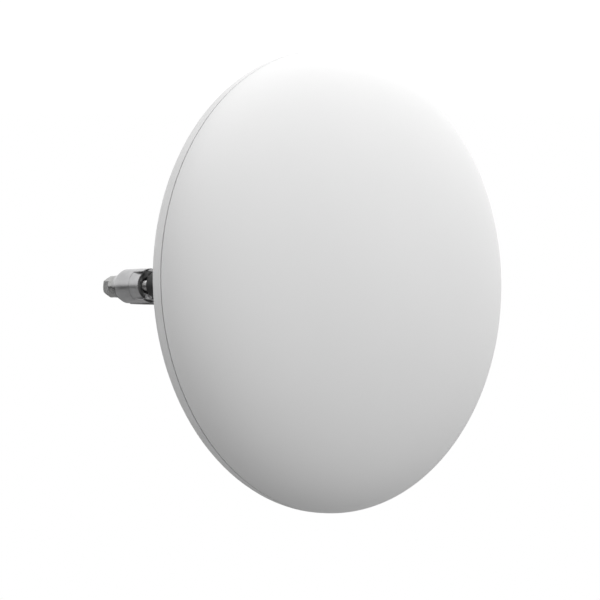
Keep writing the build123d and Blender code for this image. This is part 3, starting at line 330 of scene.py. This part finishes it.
def machined_material(name):
    """Machined aluminium with turning marks."""
    made = Surface(name, (0.68, 0.68, 0.69), 1.0, 0.32, edge=0.0003)
    made.rough(made.noise(0.004, 4), 0.26, 0.4)
    made.tint(made.noise(0.01, 4), 0.88)
    rings = made.node("ShaderNodeTexWave", wave_type="RINGS", rings_direction="Y")
    rings.inputs["Scale"].default_value = 400.0
    made.link(made.coords, rings.inputs["Vector"])
    made.bump(rings.outputs["Fac"], 0.000006)
    return made


def plastic_material(name, colour, low=0.45, high=0.6, grain=0.0006):
    """Moulded plastic with a fine grain."""
    made = Surface(name, colour, 0.0, (low + high) / 2, edge=0.0004)
    made.rough(made.noise(0.01, 4), low, high)
    made.bump(made.noise(grain, 2), 0.00002)
    made.tint(made.noise(0.02, 4), 0.92)
    return made


def board_material(name):
    """Green solder mask over the copper's relief."""
    made = plastic_material(name, (0.015, 0.13, 0.05), 0.28, 0.4)
    tracks = made.node("ShaderNodeTexVoronoi", feature="DISTANCE_TO_EDGE")
    tracks.inputs["Scale"].default_value = 260.0
    made.link(made.coords, tracks.inputs["Vector"])
    made.bump(made.spread(tracks.outputs["Distance"], 0.0, 1.0, 0.02, 0.08), 0.00003)
    return made


def rubber_material(name, colour=(0.028, 0.028, 0.028)):
    """Matt rubber with a dusty bloom."""
    made = Surface(name, colour, 0.0, 0.75, edge=0.0004)
    made.rough(made.noise(0.006, 4), 0.65, 0.85)
    made.bump(made.noise(0.0008, 3), 0.00003)
    made.tint(made.noise(0.01, 5), 0.6)
    return made


def lens_material(name):
    """Clear polycarbonate with fine scuffs."""
    made = Surface(name, (0.85, 0.92, 0.88), 0.0, 0.12, edge=0.0003)
    made.shader.inputs["Transmission Weight"].default_value = 0.85
    made.shader.inputs["IOR"].default_value = 1.58
    made.rough(made.noise(0.002, 4), 0.05, 0.18)
    return made


MATERIALS = {
    "radome_white": radome_material("radome_white"),
    "rim_white": paint_material("rim_white", (0.78, 0.78, 0.78)),
    "dish_paint": spun_paint_material("dish_paint"),
    "seal_rubber": rubber_material("seal_rubber"),
    "zinc_steel": zinc_material("zinc_steel"),
    "stainless": stainless_material("stainless"),
    "spun_aluminium": machined_material("spun_aluminium"),
    "cast_aluminium": cast_material("cast_aluminium"),
    "black_cast": black_cast_material("black_cast"),
    "box_paint": paint_material("box_paint", (0.7, 0.7, 0.7), 0.0011, 0.45, 0.6),
    "feed_plastic": plastic_material("feed_plastic", (0.82, 0.8, 0.74)),
    "board_green": board_material("board_green"),
    "thermal_pad": rubber_material("thermal_pad", (0.3, 0.34, 0.42)),
    "black_plastic": plastic_material("black_plastic", (0.02, 0.02, 0.02)),
    "grey_plastic": plastic_material("grey_plastic", (0.3, 0.3, 0.31)),
    "door_plastic": plastic_material("door_plastic", (0.66, 0.66, 0.66)),
    "lens_clear": lens_material("lens_clear"),
    "brass": zinc_material("brass", (0.66, 0.5, 0.24)),
}


# ---- pieces: helpers ----------------------------------------------------------------------------
SEGMENTS = 48  # points round a fastener, so that a hexagon's corners fall on points
DISH_SEGMENTS = 256  # points round the radome
SHARP = math.radians(28)  # edges that turn by more than this stay sharp
TOWARDS = {
    "+x": Vector((1, 0, 0)),
    "-x": Vector((-1, 0, 0)),
    "+y": Vector((0, 1, 0)),
    "-y": Vector((0, -1, 0)),
    "+z": Vector((0, 0, 1)),
    "-z": Vector((0, 0, -1)),
}


def finished(name, mesh, node):
    """Puts a mesh in the scene in place of a CAD node, riding on its body with its material."""
    mesh.shade_smooth()
    mesh.set_sharp_from_angle(angle=SHARP)
    mesh.materials.clear()
    mesh.materials.append(MATERIALS[SLOT_OF[node]].material)
    piece = bpy.data.objects.new(name, mesh)
    bpy.context.scene.collection.objects.link(piece)
    weighted = piece.modifiers.new("weighted_normals", "WEIGHTED_NORMAL")
    weighted.keep_sharp = True
    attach(piece, BODY_OF[node])
    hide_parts(node)


def to_mesh(bm, name):
    """Closes a bmesh's work into a mesh with outward faces."""
    bmesh.ops.recalc_face_normals(bm, faces=bm.faces)
    mesh = bpy.data.meshes.new(name)
    bm.to_mesh(mesh)
    bm.free()
    return mesh


def lathe(outline):
    """A closed outline of (radius, y) points turned about the Y axis."""
    bm = bmesh.new()
    rings = []
    for i in range(DISH_SEGMENTS):
        angle = 2 * math.pi * i / DISH_SEGMENTS
        rings.append([bm.verts.new((r * math.cos(angle), y, r * math.sin(angle))) for r, y in outline])
    for here, following in zip(rings, rings[1:] + rings[:1]):
        for j in range(len(outline)):
            bm.faces.new((here[j - 1], following[j - 1], following[j], here[j]))
    bmesh.ops.remove_doubles(bm, verts=bm.verts, dist=1e-7)
    return to_mesh(bm, "lathe")


def arc_points(centre, radii, start, end, count):
    """Points (radius, y) of an elliptical arc between two angles in degrees, where 90 is towards +Y."""
    points = []
    for i in range(count + 1):
        angle = math.radians(start + (end - start) * i / count)
        points.append((centre[0] + radii[0] * math.cos(angle), centre[1] + radii[1] * math.sin(angle)))
    return points


def add_rings(bm, rings, loop):
    """Skins rings of (radius function, height) along +Z: a solid capped at both ends, or a closed loop."""
    rows = []
    for radius, height in rings:
        row = []
        for i in range(SEGMENTS):
            angle = 2 * math.pi * i / SEGMENTS
            r = radius(angle)
            row.append(bm.verts.new((r * math.cos(angle), r * math.sin(angle), height)))
        rows.append(row)
    pairs = list(zip(rows, rows[1:]))
    if loop:
        pairs.append((rows[-1], rows[0]))
    else:
        bm.faces.new(rows[0])
        bm.faces.new(list(reversed(rows[-1])))
    for low, high in pairs:
        for i in range(SEGMENTS):
            bm.faces.new((low[i - 1], high[i - 1], high[i], low[i]))


def solids(node):
    """Boxes (low, high) of a CAD node's separate solids."""
    bm = bmesh.new()
    bm.from_mesh(frame["nodes"][node].data)
    bmesh.ops.remove_doubles(bm, verts=bm.verts, dist=1e-6)
    waiting = set(bm.verts)
    boxes = []
    while waiting:
        island = [waiting.pop()]
        for vert in island:
            for edge in vert.link_edges:
                other = edge.other_vert(vert)
                if other in waiting:
                    waiting.remove(other)
                    island.append(other)
        low = Vector([min(v.co[axis] for v in island) for axis in range(3)])
        high = Vector([max(v.co[axis] for v in island) for axis in range(3)])
        boxes.append((low, high))
    bm.free()
    return boxes


def placed_rings(node, direction, rings_for, loop=False):
    """One mesh with the rings repeated at each solid of a node, from its start towards its tip."""
    towards = TOWARDS[direction]
    turn = towards.to_track_quat("Z", "Y").to_matrix().to_4x4()
    bm = bmesh.new()
    for low, high in solids(node):
        length = abs((high - low).dot(towards))
        start = (low + high) / 2 - towards * length / 2
        part = bmesh.new()
        add_rings(part, rings_for(length), loop)
        part.transform(Matrix.Translation(start) @ turn)
        made = bpy.data.meshes.new("part")
        part.to_mesh(made)
        part.free()
        bm.from_mesh(made)
        bpy.data.meshes.remove(made)
    return to_mesh(bm, node)


# ---- pieces: fasteners --------------------------------------------------------------------------
SIZES = {
    # shaft radius, width across flats, head height, thread pitch, in millimetres
    "M5": (2.5, 8.0, 3.5, 0.8),
    "M6": (3.0, 10.0, 4.0, 1.0),
    "M8": (4.0, 13.0, 5.3, 1.25),
    "M10": (5.0, 17.0, 6.4, 1.5),
    "M10_high_head": (5.0, 17.0, 8.4, 1.5),
}
RINGS_PER_TURN = 6
THREAD_DEPTH = 0.55  # of the pitch
THREAD_FLAT = 0.12  # of the pitch: width of the crests and of the roots
TIP_SLOPE = 0.7  # how steeply the thread narrows in its last turn
HEAD_EASE = 0.42 * MM
CHAMFER = math.radians(30)
CHAMFER_STEPS = 5
CHAMFER_START = 0.96  # of the half width across flats


def hexagon(flats, ease=0.0):
    """Radius of a hexagon with its corners cut back to a circle when ease is given."""

    def radius(angle):
        from_flat = (angle + math.pi / 6) % (math.pi / 3) - math.pi / 6
        corner = flats / 2 / math.cos(from_flat)
        return min(corner, ease) if ease else corner

    return radius


def circle(radius):
    """Constant radius."""
    return lambda angle: radius


def eased_head(flats, low, high, flip):
    """Rings of the 30 degree chamfer of a hexagon's corners, rising from low to high."""
    rings = []
    inner = flats / 2 * CHAMFER_START
    corner = flats / math.sqrt(3)
    rise = (corner - inner) * math.tan(CHAMFER)
    for i in range(CHAMFER_STEPS + 1):
        share = i / CHAMFER_STEPS
        height = low + rise * share if not flip else high - rise * (1 - share)
        reach = inner + (corner - inner) * (share if not flip else 1 - share)
        rings.append((hexagon(flats, reach), height))
    return rings


def thread_rings(radius, pitch, start, end):
    """Rings of a helical thread that fades in at its start and runs out to a point."""
    rings = []
    depth = pitch * THREAD_DEPTH
    step = pitch / RINGS_PER_TURN
    count = int((end - start) / step)
    for i in range(count):
        height = start + i * step
        fade = min(1.0, i / RINGS_PER_TURN)

        def ridge(angle, height=height, fade=fade):
            phase = (height / pitch - angle / (2 * math.pi)) % 1.0
            valley = 1 - abs(2 * phase - 1)
            cut = min(1.0, max(0.0, (valley - THREAD_FLAT) / (1 - 2 * THREAD_FLAT)))
            taper = max(0.0, height - (end - pitch)) * TIP_SLOPE
            return radius - max(depth * fade * cut, taper)

        rings.append((ridge, height))
    rings.append((circle(radius - depth - 0.3 * MM), end))
    return rings


def bolt_rings(size, threaded, collar=None):
    """Rings of a hexagon bolt, from the top of its head to its tip."""
    radius, flats, head, pitch = [value * MM for value in SIZES[size]]

    def rings_for(length):
        rings = [(circle(flats / 2 * 0.9), 0.0)]
        rings += eased_head(flats, 0.0, head, False)
        rings.append((hexagon(flats), head - HEAD_EASE / 2))
        rings.append((hexagon(flats, flats / 2 * 1.08), head))
        base = head
        if collar:
            collar_r, collar_t = [value * MM for value in collar]
            base = head + collar_t
            rings += [(circle(collar_r - HEAD_EASE), head), (circle(collar_r), head + HEAD_EASE)]
            rings += [(circle(collar_r), base - HEAD_EASE), (circle(collar_r - HEAD_EASE), base)]
        start = max(base + 1 * MM, length - threaded * MM)
        rings.append((circle(radius), base))
        rings.append((circle(radius), start - 0.1 * MM))
        return rings + thread_rings(radius, pitch, start, length)

    return rings_for


def stud_rings(size):
    """Rings of a stud that is threaded from end to end."""
    radius, _, _, pitch = [value * MM for value in SIZES[size]]

    def rings_for(length):
        return [(circle(radius * 0.8), 0.0), (circle(radius), 0.4 * MM)] + thread_rings(
            radius, pitch, 0.5 * MM, length
        )

    return rings_for


def nut_rings(size):
    """Rings of a hexagon nut with a countersunk bore."""
    radius, flats, _, _ = [value * MM for value in SIZES[size]]
    bore = radius + 0.05 * MM
    sink = bore + 0.5 * MM

    def rings_for(length):
        rings = [(circle(bore), 0.5 * MM), (circle(sink), 0.0)]
        rings += eased_head(flats, 0.0, length, False)
        rings += eased_head(flats, 0.0, length, True)
        rings += [(circle(sink), length), (circle(bore), length - 0.5 * MM)]
        return rings

    return rings_for


def washer_rings(size, outer, ease=0.25):
    """Rings of a stamped washer with a rolled outer edge."""
    bore = (SIZES[size][0] + 0.1) * MM
    outer_r, round_off = outer * MM, ease * MM

    def rings_for(length):
        return [
            (circle(bore), 0.0),
            (circle(outer_r - 2 * round_off), 0.0),
            (circle(outer_r - 0.6 * round_off), 0.4 * round_off),
            (circle(outer_r), 1.6 * round_off),
            (circle(outer_r), length - 1.6 * round_off),
            (circle(outer_r - 0.6 * round_off), length - 0.4 * round_off),
            (circle(outer_r - 2 * round_off), length),
            (circle(bore), length),
        ]

    return rings_for


BOLTS = {
    # CAD node: towards its tip, size, threaded length, collar's radius and thickness
    "clamp_bolts": ("-y", "M10_high_head", 55.0, None),
    "pivot_bolt": ("+x", "M10", 18.0, None),
    "lock_bolts": ("+x", "M8", 16.0, None),
    "yoke_bolts": ("-y", "M6", 18.0, None),
    "arm_screws": ("-x", "M5", 10.0, None),
    "adjust_screw": ("-z", "M8", 56.0, (8.5, 1.6)),
}
NUTS = {
    "clamp_nuts": ("-y", "M10"),
    "pivot_nut": ("+x", "M10"),
    "lock_nuts": ("+x", "M8"),
    "adjust_locknut": ("-z", "M8"),
    "ground_nut": ("-x", "M6"),
}
WASHERS = {
    "clamp_washers": ("+y", "M10", 10.0),
    "pivot_washers": ("+x", "M10", 10.0),
    "lock_washers": ("+x", "M8", 8.5),
    "ground_washer": ("-x", "M6", 6.0),
}


def add_fasteners():
    """Threaded bolts, nuts and washers in place of their plain CAD shapes."""
    for node, (direction, size, threaded, collar) in BOLTS.items():
        finished("threaded_" + node, placed_rings(node, direction, bolt_rings(size, threaded, collar)), node)
    for node, (direction, size) in NUTS.items():
        finished("shaped_" + node, placed_rings(node, direction, nut_rings(size), loop=True), node)
    for node, (direction, size, outer) in WASHERS.items():
        finished("stamped_" + node, placed_rings(node, direction, washer_rings(size, outer), loop=True), node)
    finished("threaded_ground_stud", placed_rings("ground_stud", "-x", stud_rings("M6")), "ground_stud")


VENT_STEM_R = 5.0 * MM
VENT_CAP_H = 4.0 * MM
VENT_GRIPS = 12
VENT_GRIP_DEPTH = 0.07  # of the cap's radius


def vent_rings(length):
    """Rings of the breather vent: a plain stem, then a cap with finger grips round it."""
    low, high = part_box("breather_vent")
    cap_r = (high.z - low.z) / 2

    def gripped(share):
        return lambda angle: share * cap_r * (
            1 - VENT_GRIP_DEPTH * (0.5 - 0.5 * math.cos(VENT_GRIPS * angle)) ** 2
        )

    base = length - VENT_CAP_H
    return [
        (circle(VENT_STEM_R * 0.95), 0.0),
        (circle(VENT_STEM_R), 0.3 * MM),
        (circle(VENT_STEM_R), base),
        (gripped(0.97), base),
        (gripped(1.0), base + 0.4 * MM),
        (gripped(1.0), length - 0.9 * MM),
        (gripped(0.97), length - 0.35 * MM),
        (gripped(0.9), length),
        (circle(cap_r * 0.55), length),
        (circle(cap_r * 0.5), length - 0.5 * MM),
    ]


# ---- pieces: dish -------------------------------------------------------------------------------
RADOME_WALL = 3.0 * MM
FLANGE_R = 184.0 * MM
PARTING_EASE = 0.35 * MM


def add_radome():
    """The dome, with an eased edge at the parting line."""
    base_y = RADOME_HIGH.y
    outer = arc_points((0, base_y), (RIM_R, -DOME_HEIGHT), 0.5, 90, 110)
    inner = arc_points((0, base_y), (RIM_R - RADOME_WALL, RADOME_WALL - DOME_HEIGHT), 90, 3, 64)
    flange = [(FLANGE_R, base_y - RADOME_WALL), (FLANGE_R, base_y), (RIM_R - PARTING_EASE, base_y)]
    finished("radome_shell", lathe(outer + inner + flange), "radome")


def skinned(node):
    """The CAD node's own shape with its curves shaded smooth."""
    bm = bmesh.new()
    bm.from_mesh(frame["nodes"][node].data)
    bmesh.ops.remove_doubles(bm, verts=bm.verts, dist=1e-6)
    return to_mesh(bm, node)


SKINNED = [
    node
    for node in frame["nodes"]
    if node != "radome" and node not in (*BOLTS, *NUTS, *WASHERS, "ground_stud", "breather_vent")
]

add_camera()
add_floor()
add_sky()
add_lights()
for node, cad in frame["nodes"].items():
    cad.data.materials.clear()
    cad.data.materials.append(MATERIALS[SLOT_OF[node]].material)
add_radome()
add_fasteners()
finished("gripped_vent", placed_rings("breather_vent", "-x", vent_rings), "breather_vent")
for node in SKINNED:
    finished("skin_" + node, skinned(node), node)
bpy.context.scene.view_settings.view_transform = "Standard"
